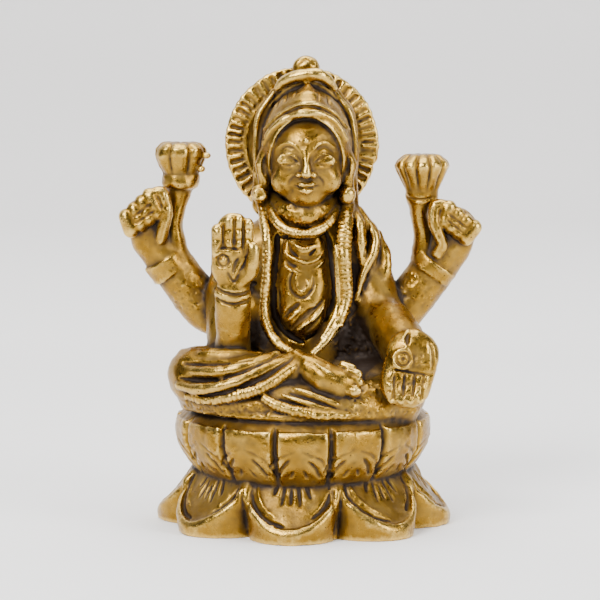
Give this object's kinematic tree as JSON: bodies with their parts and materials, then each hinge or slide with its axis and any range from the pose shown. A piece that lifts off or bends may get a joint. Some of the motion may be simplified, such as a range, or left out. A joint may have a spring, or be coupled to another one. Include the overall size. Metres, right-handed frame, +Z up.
{
  "type": "seated goddess figure on a lotus plinth",
  "caption": "Small cast brass figure of the goddess Lakshmi, seated cross-legged with raised lotus buds, cast in one piece with a two-tiered lotus plinth.",
  "frame": {"origin": "middle of the flat underside of the lotus plinth", "axes": "+Z up, the figure faces -Y, +X to the viewer's right"},
  "size_m": [0.0619, 0.0452, 0.0768],
  "materials": {
    "cast_brass": "sand-cast and filed, polished on its high spots, with a dark brown patina in the recesses"
  },
  "bodies": {
    "root": {"lakshmi_on_lotus": "cast_brass"}
  },
  "joints": []
}
